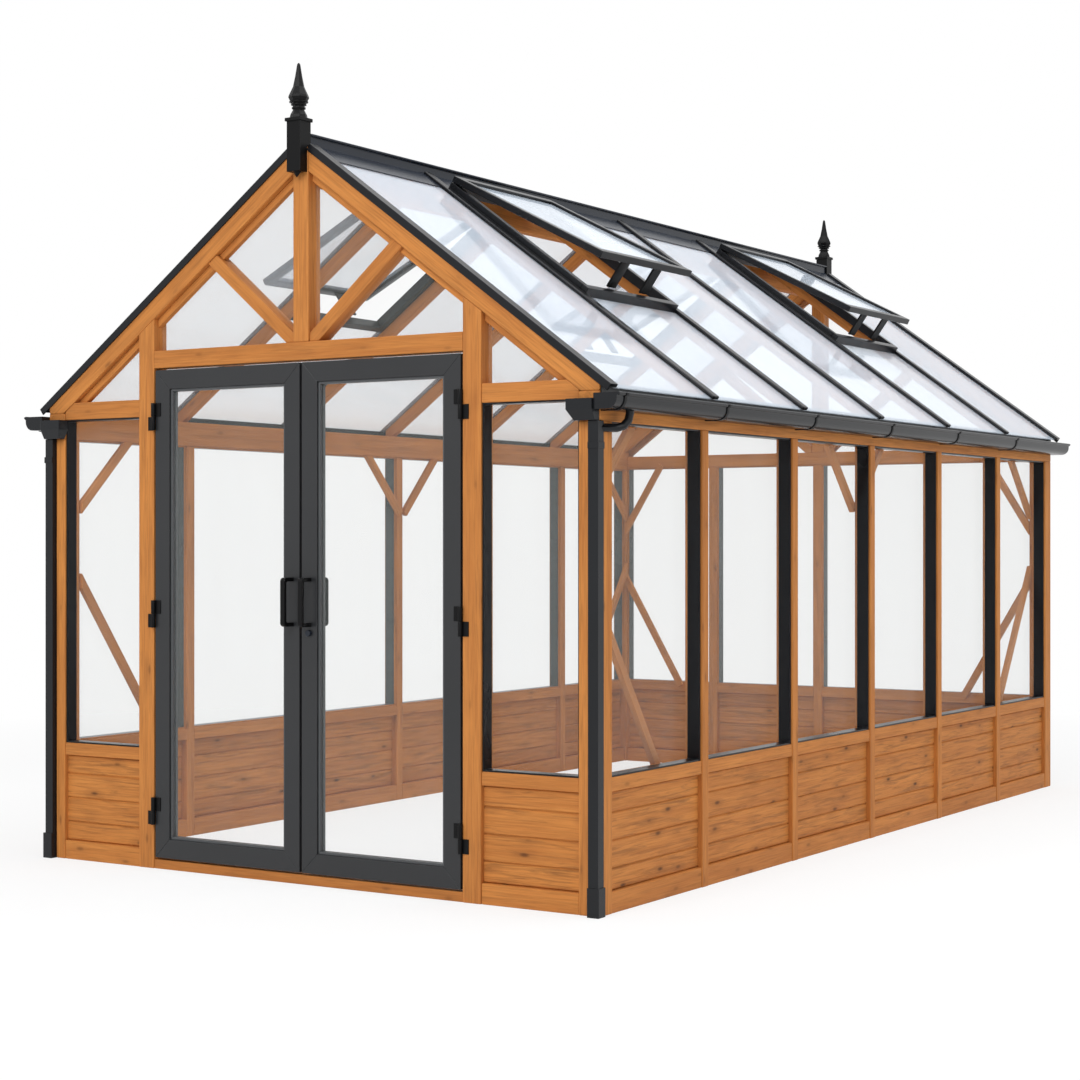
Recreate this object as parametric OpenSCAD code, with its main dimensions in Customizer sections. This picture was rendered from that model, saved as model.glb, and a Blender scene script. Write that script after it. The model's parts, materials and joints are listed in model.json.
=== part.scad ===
// Timber framed glass greenhouse with glazed double doors, open roof vents,
// eaves gutters, rainwater pipes and a finial on each gable.
// Millimetres, +Z up. The doors face -Y and the ridge runs along Y.

/* [Plan] */
// Width over the side walls
width = 2440; // [2200:10:3000]
// Length over the end walls
length = 4320; // [3600:10:5400]
// Number of bays along each side wall
side_bays = 6; // [4:1:8]
// Number of bays across the back wall
back_bays = 4; // [4:2:6]

/* [Heights] */
// Top of the dado rail, under the glass
dado_top = 440; // [340:5:700]
// Underside of the eaves plates
eaves_low = 1590; // [1500:5:1800]
// Underside of the short front beams beside the doors
front_beam_low = 1662; // [1640:2:1670]
// Underside of the transom over the doors
door_head = 1838; // [1800:2:1900]
// Slope of the roof in degrees
roof_pitch = 36; // [33:0.5:40]

/* [Timber] */
// Depth of the wall frames, outside face to inside face
wall_d = 70; // [66:1:90]
// Side of the square corner posts, and width of the eaves plates
corner_w = 80; // [76:1:100]
// Face width of the posts between the bays
post_w = 46; // [40:1:70]
// Face width of the door posts
door_post_w = 74; // [60:1:90]
// Height of the bottom rails
bottom_rail_h = 70; // [50:1:100]
// Height of the dado rails
dado_rail_h = 46; // [40:1:70]
// How far the rails stand back from the faces of the posts
rail_set = 3; // [2:0.5:8]
// Joint gap between pieces that are set against each other
fit = 0.2; // [0.1:0.05:0.4]
// Height of the eaves plates
plate_h = 96; // [90:1:130]
// Height of the short front beams, the transom and the back beam
beam_h = 64; // [60:1:70]
// Height of the timber threshold under the doors
threshold_h = 34; // [20:1:60]
// Thickness of the boarded lower panels
panel_t = 24; // [18:1:30]
// How far the lower panels stand back from the posts
panel_set = 18; // [12:1:24]
// Thickness of the rafters
rafter_t = 36; // [30:1:60]
// Depth of the rafters, square to the slope
rafter_d = 44; // [38:1:70]
// Height of the rafter tops over the plate's outer edge
rafter_heel = 30; // [20:1:34]
// Face width of the gable rafters, square to the slope
gable_face = 66; // [55:1:75]
// Face width of the king posts
king_w = 68; // [60:1:90]
// Face width of the gable struts
strut_w = 48; // [40:1:60]
// Angle of the gable struts above level
strut_angle = 40; // [36:1:46]
// How far the gable struts stand back from the gable's face
strut_set = 8; // [4:1:14]
// Width of the glazing beads under the gable rafters
bead_w = 26; // [18:1:34]
// How far the glazing beads stand back from the gable's face
bead_set = 22; // [16:1:28]
// Thickness of the ridge beam
ridge_t = 44; // [36:1:52]
// Depth of the ridge beam
ridge_d = 130; // [110:1:160]
// Width of the braces inside the walls
brace_w = 32; // [26:1:45]
// Thickness of the braces inside the walls
brace_t = 22; // [18:1:26]
// Run of the braces along the side walls
side_brace_run = 520; // [400:5:640]
// Run of the lower braces along the back wall
foot_brace_run = 420; // [320:5:560]
// Run of the upper braces along the back wall
head_brace_run = 300; // [220:5:400]

/* [Glazing] */
// Thickness of the glass
glass_t = 4; // [3:0.5:6]
// How far the wall glass stands back from the posts
glass_set = 55; // [45:1:56]
// How far the gable glass stands back from the gable's face
gable_glass_set = 46; // [40:1:52]
// Thickness of the dark liners around the wall glass
liner_t = 6; // [4:0.5:10]
// How far the liners stand back from the posts
liner_set = 8; // [5:1:14]
// Depth of the liners
liner_d = 54; // [52:1:56]
// Width of the roof bars
bar_w = 40; // [32:1:46]
// Height of the roof bars over the glass
bar_h = 14; // [10:1:20]
// Gap between neighbouring roof panes under a bar
pane_gap = 6; // [4:1:12]
// How far the roof glass reaches out over the gutters
roof_overhang = 30; // [20:1:50]

/* [Ridge and gable metalwork] */
// Height of the ridge comb over the ridge beam
comb_h = 46; // [42:1:60]
// Width of the lip on top of the ridge comb
comb_lip_w = 64; // [50:1:80]
// Height of the lip on top of the ridge comb
comb_lip_h = 9; // [6:1:12]
// Reach of the ridge flashings down the slope
flashing_l = 130; // [100:1:160]
// Thickness of the ridge flashings
flashing_t = 4; // [3:0.5:6]
// How far the verge caps stand in front of the gables
verge_t = 6; // [4:0.5:10]
// How far the verge caps reach down over the gable rafters
verge_drop = 8; // [6:1:20]
// Side of the square finial posts
finial_w = 60; // [54:1:66]
// How far the finial posts stand in front of the gables
finial_reach = 40; // [30:1:50]
// Height of the finial posts
finial_post_h = 176; // [150:1:200]
// Height of the finial posts over the ridge comb
finial_rise = 38; // [30:1:60]
// Side of the square caps on the finial posts
finial_cap_w = 70; // [64:1:80]
// Height of the spears over their caps
spear_h = 197; // [160:1:240]
// Largest radius of the spears
spear_r = 37; // [32:1:42]

/* [Roof vents] */
// Length of the vent frames down the slope
vent_l = 730; // [600:5:800]
// Opening angle of the vents in degrees
vent_open = 9; // [4:0.5:14]
// Height of the curbs around the vent openings
curb_h = 38; // [30:1:50]
// Width of the rails of the curbs
curb_w = 30; // [24:1:40]
// Width of the rails of the vent frames
vent_rail_w = 36; // [30:1:50]
// Thickness of the vent frames
vent_t = 26; // [20:1:34]
// Width of the strap arms that hold a vent open
arm_w = 60; // [40:1:80]
// Thickness of the strap arms
arm_t = 8; // [5:1:12]

/* [Rainwater] */
// Width of the gutters, wall to lip
gutter_w = 94; // [86:1:110]
// Depth of the gutters
gutter_h = 52; // [46:1:60]
// Radius of the rounded front of the gutters
gutter_r = 34; // [26:1:38]
// Thickness of the gutter walls
gutter_t = 3; // [2:0.5:4]
// Underside of the gutters over the underside of the eaves plates
gutter_rise = 34; // [24:1:40]
// How far the gutters run past the front wall
gutter_front = 40; // [30:1:48]
// How far the gutters run past the back wall
gutter_back = 14; // [8:1:30]
// Width of the gutter brackets
bracket_w = 14; // [10:1:20]
// Thickness of the gutter brackets
bracket_t = 3; // [2:0.5:4]
// Side of the square rainwater pipes
pipe_w = 38; // [34:1:48]
// How far the pipes stand out of the side walls
pipe_out = 4; // [2:1:8]
// How far the pipes stand in front of the front wall
pipe_front = 18; // [12:1:22]
// Gap between a pipe and the rebate of its corner post
pipe_gap = 2; // [1:0.5:3]
// Height of the square shoe at the foot of a pipe
shoe_h = 95; // [70:1:120]
// How far the shoes stand out of the pipes
shoe_out = 6; // [4:1:10]
// Width of the rainwater heads at the top
head_w = 98; // [84:1:110]
// Depth of the rainwater heads at the top
head_d = 50; // [44:1:56]
// Height of the rainwater heads
head_h = 70; // [56:1:76]
// Thickness of the walls of the rainwater heads
head_t = 4; // [3:0.5:6]
// Radius of the swan neck pipes
neck_r = 14; // [12:0.5:16]
// Radius of the bend of the swan necks
neck_bend = 50; // [40:1:60]
// How far behind the front wall the swan necks leave the gutters
neck_back = 112; // [100:1:130]
// Height of the clips around the pipes
clip_h = 22; // [16:1:30]
// How far the clips lie under the rainwater heads
clip_drop = 90; // [70:1:140]

/* [Doors] */
// Half of the clear opening between the door posts
door_half = 688; // [620:1:720]
// Thickness of the door leaves
leaf_t = 44; // [38:1:50]
// Gap around the door leaves
leaf_gap = 8; // [7:0.5:12]
// Width of the stiles of the doors
stile_w = 68; // [56:1:90]
// Height of the rails of the doors
rail_w = 70; // [56:1:90]
// Radius of the hinge barrels
barrel_r = 8; // [7:0.5:10]
// Height of a whole hinge
hinge_h = 100; // [80:1:120]
// Radius of the hinge pins
pin_r = 4; // [3:0.5:5]
// Clearance between a hinge pin and its bore, on the radius
pin_clear = 0.05; // [0.02:0.01:0.09]
// Width of the hinge plates
plate_reach = 30; // [24:1:34]
// Thickness of the hinge plates
plate_t = 3; // [2:0.5:4]
// Inset of the outer hinges from the ends of a leaf
hinge_inset = 170; // [120:5:260]
// Length of the door pulls
pull_l = 172; // [140:1:220]
// How far the door pulls stand off the leaf
pull_d = 54; // [44:1:60]
// Thickness of the bars of the door pulls
pull_t = 14; // [10:1:18]
// Width of the door pulls
pull_w = 20; // [14:1:26]
// Height of the middle of the door pulls
pull_z = 990; // [900:5:1100]
// Radius of the lock barrel under the pulls of the right door
lock_r = 11; // [8:0.5:14]

/* [Hidden] */
$fn = 48;
timber = "peru";
dark = "dimgray";
clear = [0.75, 0.87, 0.9, 0.35];

// Plan: the front and back faces are set so that the whole stands centred on the origin
finial_out = finial_reach - finial_w / 2 + max(spear_r, finial_cap_w / 2);
front_reach = max(head_d, pull_d, finial_out);
back_reach = max(finial_out, gutter_back);
y_front = -length / 2 + (front_reach - back_reach) / 2;
y_back = y_front + length;
y_mid = (y_front + y_back) / 2;
half_w = width / 2;
bay = length / side_bays;
back_bay = width / back_bays;
door_post_out = door_half + door_post_w;
plate_in = half_w - corner_w;

// Heights and the roof plane, which is the plane of the rafter tops
plate_top = eaves_low + plate_h;
slope = tan(roof_pitch);
ridge_z = plate_top + rafter_heel + half_w * slope;
gable_v = gable_face / cos(roof_pitch);
rafter_v = rafter_d / cos(roof_pitch);
front_beam_top = front_beam_low + beam_h;
transom_top = door_head + beam_h;
back_beam_top = plate_top - plate_h / 4;
back_beam_low = back_beam_top - beam_h;
panel_top = dado_top - dado_rail_h;
ridge_half = ridge_t / 2;
beam_top = ridge_z - ridge_half * slope;
comb_top = beam_top + comb_h;
king_half = king_w / 2;

// Distances down the slope from the ridge line
u_start = (ridge_half + 1) / cos(roof_pitch);
bar_low = glass_t + 2 * fit;
u_eaves = (half_w + roof_overhang) / cos(roof_pitch);
vent_u0 = flashing_l + 2;
vent_u1 = vent_u0 + vent_l + curb_w / 2;
vent_bays = [1, side_bays - 2];
verge_u0 = (finial_w / 2 + fit + verge_drop * sin(roof_pitch)) / cos(roof_pitch);
verge_glass = finial_w - finial_reach + 2;

// Gutter, rainwater head and pipe
gutter_low = eaves_low + gutter_rise;
gutter_top = gutter_low + gutter_h;
head_low = eaves_low;
pipe_x0 = half_w + pipe_out - pipe_w;
pipe_y0 = y_front - pipe_front;
rebate_x = half_w - pipe_x0 + pipe_gap;
rebate_y = pipe_y0 + pipe_w - y_front + pipe_gap;
lip_w = 8;
lip_h = 6;
clip_z = head_low - clip_drop;
neck_y = y_front + neck_back;
neck_x = half_w + gutter_w / 2;
neck_z = gutter_low - neck_bend - 2 * gutter_t;
neck_foot = [half_w + pipe_out - pipe_w / 2, pipe_y0 + pipe_w / 2];

// Doors
leaf_low = threshold_h + leaf_gap;
leaf_top = door_head - leaf_gap;
leaf_out = door_half - leaf_gap;
leaf_in = leaf_gap / 2 + 1;
leaf_gap_in = [leaf_in + stile_w + fit, leaf_out - stile_w - fit];
hinge_x = door_half - leaf_gap / 2;
hinge_y = y_front - barrel_r;
hinge_zs = [leaf_low + hinge_inset, (leaf_low + leaf_top) / 2, leaf_top - hinge_inset];
barrel_gap = 1;
pull_x = leaf_in + stile_w / 2;

// Braces
knee_rise = 260;
wind_z = 1135;

// Heights of the rafter tops and of the gable rafters' undersides at a distance from the middle
function roof_z(x) = ridge_z - abs(x) * slope;
function under_z(x) = roof_z(x) - gable_v;

// Distance from the middle at which the gable rafters' underside has a given height
function under_x(z) = (ridge_z - gable_v - z) / slope;

// Clear gap between two posts of a side wall, of the back wall, and beside the doors
function side_gap(i) = [
    (i == 0 ? y_front + corner_w : y_front + i * bay + post_w / 2) + fit,
    (i == side_bays - 1 ? y_back - corner_w : y_front + (i + 1) * bay - post_w / 2) - fit
];
function back_gap(i) = [
    (i == 0 ? -half_w + corner_w : -half_w + i * back_bay + post_w / 2) + fit,
    (i == back_bays - 1 ? half_w - corner_w : -half_w + (i + 1) * back_bay - post_w / 2) - fit
];
front_gap = [door_post_out + fit, plate_in - fit];
function inside(gap) = [gap[0] + liner_t, gap[1] - liner_t];

// Gable strut: height offset of its edges, and where an edge meets the rafter
strut_rise = tan(strut_angle);
strut_off = strut_w / 2 / cos(strut_angle);
function strut_hit(foot, edge) =
    (ridge_z - gable_v - fit - foot + king_half * strut_rise - edge * strut_off) / (slope + strut_rise);
function seat_z(x) = under_z(x) - fit;

// Outlines in the gable's plane, for the half with positive X
function strut_outline(foot) = [
    [king_half + fit, foot],
    [king_half + strut_off / strut_rise, foot],
    [strut_hit(foot, -1), seat_z(strut_hit(foot, -1))],
    [strut_hit(foot, 1), seat_z(strut_hit(foot, 1))],
    [king_half + fit, foot + strut_off]
];
function upper_pane(foot) = [
    [king_half + fit, foot + strut_off],
    [strut_hit(foot, 1), seat_z(strut_hit(foot, 1))],
    [king_half + fit, seat_z(king_half + fit)]
];
function lower_pane(foot, side) = [
    [king_half + strut_off / strut_rise, foot],
    [side - fit, foot],
    [side - fit, seat_z(side)],
    [strut_hit(foot, -1), seat_z(strut_hit(foot, -1))]
];
function corner_pane() = [
    [door_post_out + fit, front_beam_top],
    [under_x(front_beam_top + fit), front_beam_top],
    [door_post_out + fit, seat_z(door_post_out + fit)]
];

// Outline of a gutter's underside, front and lip, shrunk by an inset
function gutter_line(inset) = concat(
    [[max(inset, 0), inset]],
    [for (a = [-90:15:0])
        [gutter_w - lip_w - gutter_r + (gutter_r - inset) * cos(a), gutter_r + (gutter_r - inset) * sin(a)]],
    [[gutter_w - lip_w - inset, gutter_h - 2 * lip_h + inset / 2]],
    [[gutter_w - inset, gutter_h - lip_h + inset / 2], [gutter_w - inset, gutter_h]]
);
function gutter_whole(inset) = concat([[max(inset, 0), gutter_h]], gutter_line(inset));
function reversed(points) = [for (i = [len(points) - 1:-1:0]) points[i]];

// An outline drawn in X and Z, made solid between two places along Y
module slab_y(y0, y1) {
    translate([0, y1, 0]) rotate([90, 0, 0]) linear_extrude(y1 - y0) children();
}

// An outline drawn in Y and Z, made solid between two places along X
module slab_x(x0, x1) {
    translate([x0, 0, 0]) rotate([90, 0, 90]) linear_extrude(x1 - x0) children();
}

// A box between two corners
module box(from, to) {
    translate(from) cube(to - from);
}

// Copies for the two sides, and for the two ends of the building
module both_sides() {
    children();
    mirror([1, 0, 0]) children();
}
module both_ends() {
    children();
    translate([0, 2 * y_mid, 0]) mirror([0, 1, 0]) children();
}

// Boxes of the right wall, the front wall and the back wall, by depth from the outside
module side_box(gap, d0, d1, z0, z1) {
    box([half_w - d1, gap[0], z0], [half_w - d0, gap[1], z1]);
}
module front_box(gap, d0, d1, z0, z1) {
    box([gap[0], y_front + d0, z0], [gap[1], y_front + d1, z1]);
}
module back_box(gap, d0, d1, z0, z1) {
    box([gap[0], y_back - d1, z0], [gap[1], y_back - d0, z1]);
}

// The right roof slope: X runs down the slope from the ridge, Z stands square to the rafter tops
module on_slope() {
    translate([0, 0, ridge_z]) rotate([0, roof_pitch, 0]) children();
}

// Every bay of both side walls, and of the back wall
module each_side_bay(d0, d1, z0, z1) {
    both_sides() for (i = [0:side_bays - 1]) side_box(side_gap(i), d0, d1, z0, z1);
}
module each_back_bay(d0, d1, z0, z1) {
    for (i = [0:back_bays - 1]) back_box(back_gap(i), d0, d1, z0, z1);
}

// Posts
module corner_posts() {
    color(timber) both_sides() {
        linear_extrude(eaves_low) polygon([
            [half_w - corner_w, y_front],
            [half_w - rebate_x, y_front],
            [half_w - rebate_x, y_front + rebate_y],
            [half_w, y_front + rebate_y],
            [half_w, y_front + corner_w],
            [half_w - corner_w, y_front + corner_w]
        ]);
        side_box([y_back - corner_w, y_back], 0, corner_w, 0, eaves_low);
    }
}
module side_posts() {
    color(timber) both_sides() for (i = [1:side_bays - 1])
        side_box([y_front + i * bay - post_w / 2, y_front + i * bay + post_w / 2], 0, wall_d, 0, eaves_low);
}
module back_posts() {
    color(timber) for (i = [1:back_bays - 1])
        back_box([-half_w + i * back_bay - post_w / 2, -half_w + i * back_bay + post_w / 2],
            0, wall_d, 0, back_beam_low);
}
module door_posts() {
    color(timber) both_sides() slab_y(y_front, y_front + wall_d) polygon([
        [door_half, 0], [door_post_out, 0],
        [door_post_out, under_z(door_post_out) - fit], [door_half, under_z(door_half) - fit]
    ]);
}

// Rails and lower panels
module bottom_rails() {
    color(timber) {
        each_side_bay(rail_set, wall_d, 0, bottom_rail_h);
        each_back_bay(rail_set, wall_d, 0, bottom_rail_h);
        both_sides() front_box(front_gap, rail_set, wall_d, 0, bottom_rail_h);
        front_box([fit - door_half, door_half - fit], rail_set, wall_d, 0, threshold_h);
    }
}
module dado_rails() {
    color(timber) {
        each_side_bay(rail_set, wall_d, panel_top, dado_top);
        each_back_bay(rail_set, wall_d, panel_top, dado_top);
        both_sides() front_box(front_gap, rail_set, wall_d, panel_top, dado_top);
    }
}

module wall_panels() {
    back = panel_set + panel_t;
    color(timber) {
        each_side_bay(panel_set, back, bottom_rail_h, panel_top);
        each_back_bay(panel_set, back, bottom_rail_h, panel_top);
        both_sides() front_box(front_gap, panel_set, back, bottom_rail_h, panel_top);
    }
}

// Beams
module eaves_plates() {
    color(timber) both_sides() side_box([y_front, y_back], 0, corner_w, eaves_low, plate_top);
}

module cross_beams() {
    color(timber) {
        both_sides() slab_y(y_front + rail_set, y_front + wall_d) polygon([
            [front_gap[0], front_beam_low], [front_gap[1], front_beam_low],
            [front_gap[1], under_z(front_gap[1]) - fit],
            [under_x(front_beam_top + fit), front_beam_top], [front_gap[0], front_beam_top]
        ]);
        front_box([fit - door_half, door_half - fit], 0, wall_d, door_head, transom_top);
        back_box([fit - plate_in, plate_in - fit], 0, wall_d, back_beam_low, back_beam_top);
    }
}

// Gables
module gable_rafters() {
    seat = half_w - (gable_v - rafter_heel) / slope;
    color(timber) both_ends() both_sides() slab_y(y_front, y_front + wall_d) polygon([
        [king_half, roof_z(king_half)], [half_w, roof_z(half_w)], [half_w, plate_top],
        [seat, plate_top], [king_half, under_z(king_half)]
    ]);
}
module king_post(foot) {
    slab_y(y_front, y_front + wall_d) polygon([
        [-king_half, foot], [king_half, foot], [king_half, roof_z(king_half)], [ridge_half, beam_top],
        [-ridge_half, beam_top], [-king_half, roof_z(king_half)]
    ]);
}
module at_back() {
    translate([0, 2 * y_mid, 0]) mirror([0, 1, 0]) children();
}
module king_posts() {
    color(timber) king_post(transom_top);
    color(timber) at_back() king_post(back_beam_top);
}
module gable_struts() {
    color(timber) both_sides() {
        slab_y(y_front + strut_set, y_front + wall_d) polygon(strut_outline(transom_top));
        at_back() slab_y(y_front + strut_set, y_front + wall_d) polygon(strut_outline(back_beam_top));
    }
}

// Glazing beads lie in the gable panes, along the underside of the rafters
module bead(pane) {
    bead_v = bead_w / cos(roof_pitch);
    slab_y(y_front + bead_set, y_front + gable_glass_set) intersection() {
        polygon(pane);
        polygon([
            [0, seat_z(0)], [half_w, seat_z(half_w)],
            [half_w, seat_z(half_w) - bead_v], [0, seat_z(0) - bead_v]
        ]);
    }
}
module gable_beads() {
    color(timber) both_sides() {
        bead(upper_pane(transom_top));
        bead(lower_pane(transom_top, door_half));
        bead(corner_pane());
        at_back() bead(upper_pane(back_beam_top));
        at_back() bead(lower_pane(back_beam_top, plate_in));
    }
}

// Roof timbers
module ridge_beam() {
    color(timber) box([-ridge_half, y_front + wall_d, beam_top - ridge_d],
        [ridge_half, y_back - wall_d, beam_top]);
}
module rafters() {
    seat = half_w - (rafter_v - rafter_heel) / slope;
    color(timber) both_sides() for (i = [1:side_bays - 1])
        slab_y(y_front + i * bay - rafter_t / 2, y_front + i * bay + rafter_t / 2) polygon([
            [ridge_half, roof_z(ridge_half)], [half_w, roof_z(half_w)], [half_w, plate_top],
            [seat, plate_top], [ridge_half, roof_z(ridge_half) - rafter_v]
        ]);
}

// Braces are planks inside the walls, cut off at the corner posts and under the eaves plates
module plank(from, to) {
    d = to - from;
    translate(from) rotate(atan2(d[1], d[0])) translate([0, -brace_w / 2]) square([norm(d), brace_w]);
}
module side_brace(from, to) {
    slab_x(half_w - wall_d - brace_t, half_w - wall_d) intersection() {
        plank(from, to);
        translate([y_front + corner_w, 0]) square([length - 2 * corner_w, eaves_low]);
    }
}
module back_brace(from, to) {
    slab_y(y_back - wall_d - brace_t, y_back - wall_d) intersection() {
        plank(from, to);
        translate([-plate_in, 0]) square([2 * plate_in, back_beam_low + brace_w]);
    }
}
module wall_braces() {
    corner = y_front + corner_w;
    mid = y_front + floor(side_bays / 2) * bay;
    over = [brace_w, brace_w];
    low = eaves_low - knee_rise;
    foot = dado_top - brace_w / 2;
    head = back_beam_low + brace_w / 2;
    color(timber) both_sides() {
        both_ends() side_brace([corner, low] - over, [corner + knee_rise, eaves_low] + over);
        for (s = [-1, 1])
            side_brace([mid + s * brace_w / 2, low], [mid + s * (knee_rise + brace_w), eaves_low + brace_w]);
        both_ends() side_brace([y_front, wind_z + brace_w], [y_front + side_brace_run, foot]);
        back_brace([half_w, wind_z], [half_w - foot_brace_run, foot]);
        back_brace([half_w, wind_z], [half_w - head_brace_run, head]);
    }
}

// A dark ring lines each wall opening, and the glass stands in it
module ring_x(gap, z0, z1) {
    difference() {
        side_box(gap, liner_set, liner_set + liner_d, z0, z1);
        side_box(inside(gap), liner_set - 1, liner_set + liner_d + 1, z0 + liner_t, z1 - liner_t);
    }
}
module wall_liners() {
    color(dark) {
        both_sides() for (i = [0:side_bays - 1]) ring_x(side_gap(i), dado_top, eaves_low);
        for (i = [0:back_bays - 1]) difference() {
            back_box(back_gap(i), liner_set, liner_set + liner_d, dado_top, back_beam_low);
            back_box(inside(back_gap(i)), liner_set - 1, liner_set + liner_d + 1,
                dado_top + liner_t, back_beam_low - liner_t);
        }
        both_sides() difference() {
            front_box(front_gap, liner_set, liner_set + liner_d, dado_top, front_beam_low);
            front_box(inside(front_gap), liner_set - 1, liner_set + liner_d + 1,
                dado_top + liner_t, front_beam_low - liner_t);
        }
    }
}
module wall_glass() {
    back = glass_set + glass_t;
    low = dado_top + liner_t;
    color(clear) {
        both_sides() for (i = [0:side_bays - 1])
            side_box(inside(side_gap(i)), glass_set, back, low, eaves_low - liner_t);
        for (i = [0:back_bays - 1])
            back_box(inside(back_gap(i)), glass_set, back, low, back_beam_low - liner_t);
        both_sides() front_box(inside(front_gap), glass_set, back, low, front_beam_low - liner_t);
    }
}
module gable_pane(outline) {
    slab_y(y_front + gable_glass_set, y_front + gable_glass_set + glass_t) polygon(outline);
}

module gable_glass() {
    color(clear) both_sides() {
        gable_pane(upper_pane(transom_top));
        gable_pane(lower_pane(transom_top, door_half));
        gable_pane(corner_pane());
        at_back() gable_pane(upper_pane(back_beam_top));
        at_back() gable_pane(lower_pane(back_beam_top, plate_in));
    }
}

// Roof glass: the vent bays are glazed below their vents only
module roof_glass() {
    color(clear) both_sides() on_slope() for (i = [0:side_bays - 1]) {
        has_vent = len(search(i, vent_bays)) > 0;
        near = i == 0 ? verge_glass : pane_gap / 2;
        far = i == side_bays - 1 ? verge_glass : pane_gap / 2;
        box([has_vent ? vent_u1 + fit : u_start, y_front + i * bay + near, fit],
            [u_eaves, y_front + (i + 1) * bay - far, fit + glass_t]);
    }
}
module roof_bars() {
    color(dark) both_sides() on_slope() for (i = [1:side_bays - 1])
        box([u_start, y_front + i * bay - bar_w / 2, bar_low],
            [u_eaves + pane_gap, y_front + i * bay + bar_w / 2, bar_low + bar_h]);
}
module verge_caps() {
    color(dark) both_ends() both_sides() on_slope() {
        box([verge_u0, y_front - verge_t, bar_low], [u_eaves + pane_gap, y_front + bar_w, bar_low + bar_h]);
        box([verge_u0, y_front - verge_t, -verge_drop], [u_eaves + pane_gap, y_front - fit, bar_low + bar_h]);
    }
}

// Ridge: a comb with a lip on top, and flashings between the bars
module ridge_comb() {
    color(dark) slab_y(y_front + verge_glass, y_back - verge_glass) polygon([
        [-ridge_half, beam_top], [ridge_half, beam_top], [ridge_half, comb_top - comb_lip_h],
        [comb_lip_w / 2, comb_top - comb_lip_h], [comb_lip_w / 2, comb_top],
        [-comb_lip_w / 2, comb_top], [-comb_lip_w / 2, comb_top - comb_lip_h],
        [-ridge_half, comb_top - comb_lip_h]
    ]);
}
module ridge_flashings() {
    color(dark) both_sides() on_slope() for (i = [0:side_bays - 1]) {
        near = (i == 0 ? bar_w : bar_w / 2) + fit;
        far = (i == side_bays - 1 ? bar_w : bar_w / 2) + fit;
        box([u_start + glass_t, y_front + i * bay + near, bar_low],
            [flashing_l, y_front + (i + 1) * bay - far, bar_low + flashing_t]);
    }
}

// Roof vents, in the right slope's frame, for the bay that starts at a place along Y
module each_vent() {
    color(dark) both_sides() on_slope() for (i = vent_bays) translate([0, y_front + i * bay, 0]) children();
}
vent_edge = bar_w / 2 + 1;
module vent_side_curbs() {
    each_vent() for (y = [vent_edge, bay - vent_edge - curb_w])
        box([vent_u0 + curb_w + fit, y, fit], [vent_u1 - curb_w - fit, y + curb_w, curb_h]);
}
module vent_cross_curbs() {
    each_vent() for (u = [vent_u0, vent_u1 - curb_w])
        box([u, vent_edge, fit], [u + curb_w, bay - vent_edge, curb_h]);
}
module on_vent() {
    each_vent() translate([vent_u0, 0, curb_h + fit]) rotate([0, -vent_open, 0]) children();
}
module vent_frames() {
    on_vent() difference() {
        box([0, vent_edge, 0], [vent_l, bay - vent_edge, vent_t]);
        box([vent_rail_w, vent_edge + vent_rail_w, -1],
            [vent_l - vent_rail_w, bay - vent_edge - vent_rail_w, vent_t + 1]);
    }
}
module vent_glass() {
    edge = vent_rail_w + fit;
    on_vent() box([edge, vent_edge + edge, (vent_t - glass_t) / 2],
        [vent_l - edge, bay - vent_edge - edge, (vent_t + glass_t) / 2]);
}
module vent_arms() {
    u = vent_u0 + vent_l * cos(vent_open) - vent_rail_w / 2;
    rise = tan(vent_open);
    each_vent() for (y = [bay / 3, 2 * bay / 3]) slab_y(y - arm_w / 2, y + arm_w / 2) polygon([
        [u - arm_t, curb_h + fit], [u, curb_h + fit],
        [u, curb_h + (u - vent_u0) * rise], [u - arm_t, curb_h + (u - arm_t - vent_u0) * rise]
    ]);
}

// Finials: a square post in front of the gable, a cap and a faceted spear
module finial() {
    low = comb_top + finial_rise - finial_post_h;
    top = comb_top + finial_rise;
    cap_h = 12;
    mid = y_front - finial_reach + finial_w / 2;
    half = finial_w / 2;
    box([-half, y_front - finial_reach, low], [half, y_front, top]);
    box([-half, y_front, beam_top], [half, mid + half, top]);
    translate([0, y_front - finial_reach / 2, low - finial_reach / 2])
        cylinder(h = finial_reach / 2, d1 = 0, d2 = finial_reach, $fn = 4);
    translate([0, mid, top + cap_h / 2]) cube([finial_cap_w, finial_cap_w, cap_h], center = true);
    translate([0, mid, top + cap_h]) rotate_extrude($fn = 8) polygon([
        [0, 0], [spear_r * 0.86, 0], [spear_r * 0.8, spear_h * 0.06], [spear_r * 0.55, spear_h * 0.15],
        [spear_r * 0.55, spear_h * 0.21], [spear_r * 0.72, spear_h * 0.26], [spear_r, spear_h * 0.37],
        [spear_r * 0.93, spear_h * 0.41], [spear_r * 0.55, spear_h * 0.56], [spear_r * 0.34, spear_h * 0.75],
        [spear_r * 0.16, spear_h * 0.96], [0, spear_h]
    ]);
}
module finials() {
    color(dark) both_ends() finial();
}

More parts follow.
